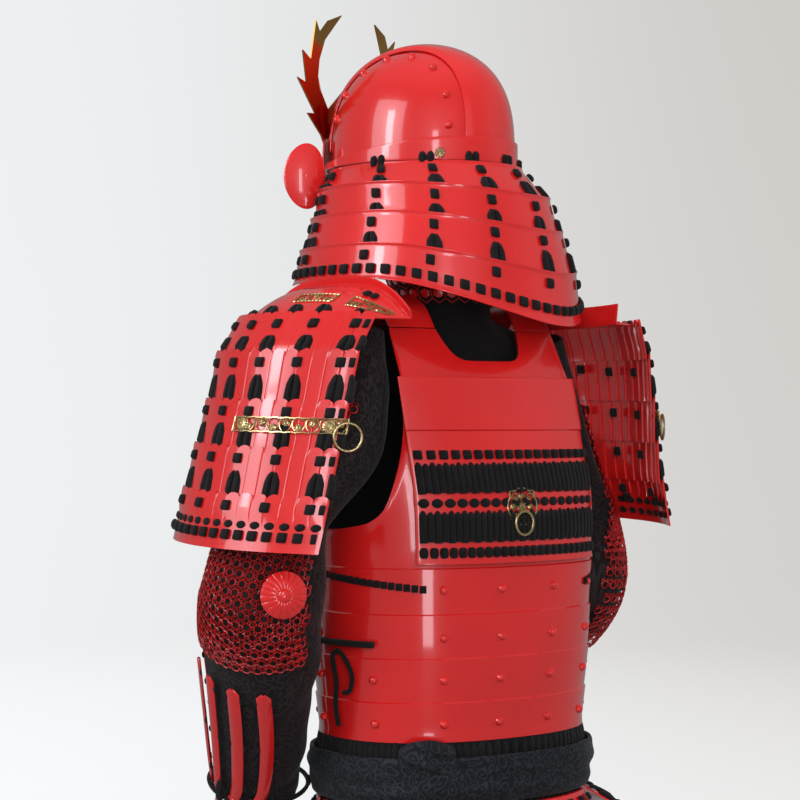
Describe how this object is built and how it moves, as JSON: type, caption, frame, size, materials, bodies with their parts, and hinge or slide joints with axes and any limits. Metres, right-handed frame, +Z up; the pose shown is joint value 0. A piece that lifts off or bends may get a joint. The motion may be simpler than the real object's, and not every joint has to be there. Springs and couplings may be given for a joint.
{
  "type": "samurai armour",
  "caption": "Upper suit of red lacquered samurai armour in its worn, hollow form: antlered helmet, cuirass, shoulder guards, armoured sleeves, belt and skirt plates.",
  "frame": {"origin": "middle of the wearer's shoulder line, at the underside of the shoulder straps, where the armour is held", "axes": "+Z up, the front faces -Y, +X towards the wearer's left"},
  "size_m": [0.6911, 0.5415, 1.1148],
  "materials": {
    "lacquer": "glossy red lacquer over plate",
    "braid": "matt black cotton braid",
    "cloth": "black woven cloth with a faint woven pattern",
    "gilt": "polished gilt metal",
    "brass": "polished brass plate",
    "mail": "red painted ring mail"
  },
  "bodies": {
    "root": {"bowl_left": "lacquer", "bowl_right": "lacquer", "bowl_centre": "lacquer", "helmet_band": "lacquer", "brow_plate": "lacquer", "neck_lame_1": "lacquer", "neck_lame_2": "lacquer", "neck_lame_3": "lacquer", "neck_lame_4": "lacquer", "ear_left": "lacquer", "ear_right": "lacquer", "antler_crest": "brass", "cuirass_back": "lacquer", "cuirass_front": "lacquer", "back_panel": "lacquer", "strap_left": "lacquer", "strap_right": "lacquer", "back_plaque": "gilt", "back_ring": "gilt", "side_tie": "braid", "side_tie_bow": "braid", "collar": "cloth", "yoke_cloth": "cloth", "left_shoulder_crown": "lacquer", "left_shoulder_lame_1": "lacquer", "left_shoulder_lame_2": "lacquer", "left_shoulder_lame_3": "lacquer", "left_shoulder_lame_4": "lacquer", "left_shoulder_lame_5": "lacquer", "left_shoulder_bar": "gilt", "left_shoulder_ring": "gilt", "right_shoulder_crown": "lacquer", "right_shoulder_lame_1": "lacquer", "right_shoulder_lame_2": "lacquer", "right_shoulder_lame_3": "lacquer", "right_shoulder_lame_4": "lacquer", "right_shoulder_lame_5": "lacquer", "right_shoulder_bar": "gilt", "right_shoulder_ring": "gilt", "left_sleeve": "cloth", "left_mail": "mail", "left_elbow_disc": "lacquer", "left_splints": "lacquer", "left_wrist_cord": "braid", "left_hand_guard": "lacquer", "right_sleeve": "cloth", "right_mail": "mail", "right_elbow_disc": "lacquer", "right_splints": "lacquer", "right_wrist_cord": "braid", "right_hand_guard": "lacquer", "waist_lacing": "braid", "belt": "cloth", "tasset_back_left": "lacquer", "tasset_side_left": "lacquer", "tasset_front_left": "lacquer", "tasset_front": "lacquer", "tasset_front_right": "lacquer", "tasset_side_right": "lacquer", "tasset_back_right": "lacquer"}
  },
  "joints": []
}
